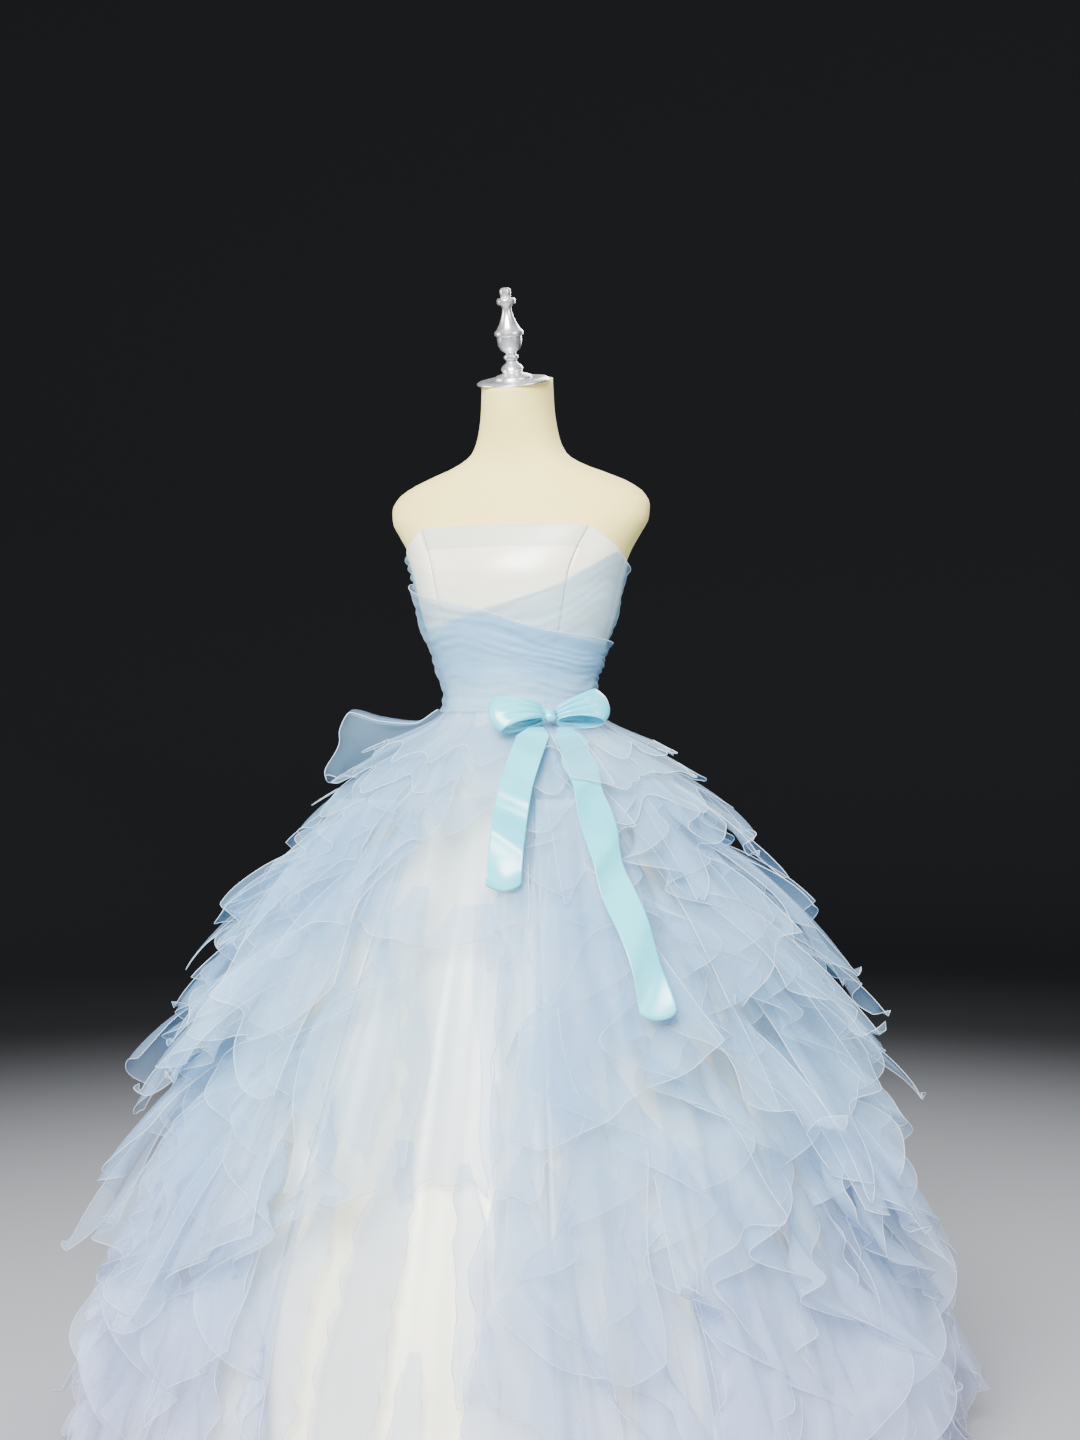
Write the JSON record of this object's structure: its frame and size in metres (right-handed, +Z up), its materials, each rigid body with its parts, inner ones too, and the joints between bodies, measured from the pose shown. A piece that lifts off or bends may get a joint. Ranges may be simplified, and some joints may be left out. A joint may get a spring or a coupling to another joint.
{
  "type": "ball gown on dress form",
  "caption": "Strapless satin ball gown with crossed organza swathes, a ribbon bow and long organza cascades, standing on a limbless dress form.",
  "frame": {"origin": "on the floor under the pole, in the middle of the base's underside", "axes": "+Z up along the pole, -Y the gown's front, +X the wearer's left"},
  "size_m": [1.2453, 1.2437, 1.6056],
  "materials": {
    "ivory_satin": "ivory duchess satin with a soft sheen",
    "blue_organza": "sheer pale blue organza",
    "aqua_ribbon": "aqua satin ribbon",
    "form_cover": "cream jersey cover",
    "chrome": "polished chrome"
  },
  "bodies": {
    "root": {"bodice_front": "ivory_satin", "bodice_side_front_left": "ivory_satin", "bodice_side_front_right": "ivory_satin", "bodice_side_back_left": "ivory_satin", "bodice_side_back_right": "ivory_satin", "bodice_back_left": "ivory_satin", "bodice_back_right": "ivory_satin", "swathe_under": "blue_organza", "swathe_over": "blue_organza", "skirt_gore_1": "ivory_satin", "skirt_gore_2": "ivory_satin", "skirt_gore_3": "ivory_satin", "skirt_gore_4": "ivory_satin", "skirt_gore_5": "ivory_satin", "skirt_gore_6": "ivory_satin", "skirt_gore_7": "ivory_satin", "skirt_gore_8": "ivory_satin", "tier_front_left": "blue_organza", "tier_front_right": "blue_organza", "tier_back_left": "blue_organza", "tier_back_right": "blue_organza", "tier_flap": "blue_organza", "organza_fan": "blue_organza", "cascade_01": "blue_organza", "cascade_02": "blue_organza", "cascade_03": "blue_organza", "cascade_04": "blue_organza", "cascade_05": "blue_organza", "cascade_06": "blue_organza", "cascade_07": "blue_organza", "cascade_08": "blue_organza", "cascade_09": "blue_organza", "cascade_10": "blue_organza", "cascade_11": "blue_organza", "cascade_12": "blue_organza", "cascade_13": "blue_organza", "cascade_14": "blue_organza", "cascade_15": "blue_organza", "cascade_16": "blue_organza", "cascade_17": "blue_organza", "cascade_18": "blue_organza", "cascade_19": "blue_organza", "cascade_20": "blue_organza", "petal_middle": "blue_organza", "petal_left": "blue_organza", "petal_right": "blue_organza", "bow_knot": "aqua_ribbon", "bow_loop_left": "aqua_ribbon", "bow_loop_right": "aqua_ribbon", "ribbon_tail_left": "aqua_ribbon", "ribbon_tail_right": "aqua_ribbon", "form_torso": "form_cover", "form_neck_cap": "chrome", "form_finial": "chrome", "form_pole": "chrome", "form_base": "chrome"}
  },
  "joints": []
}
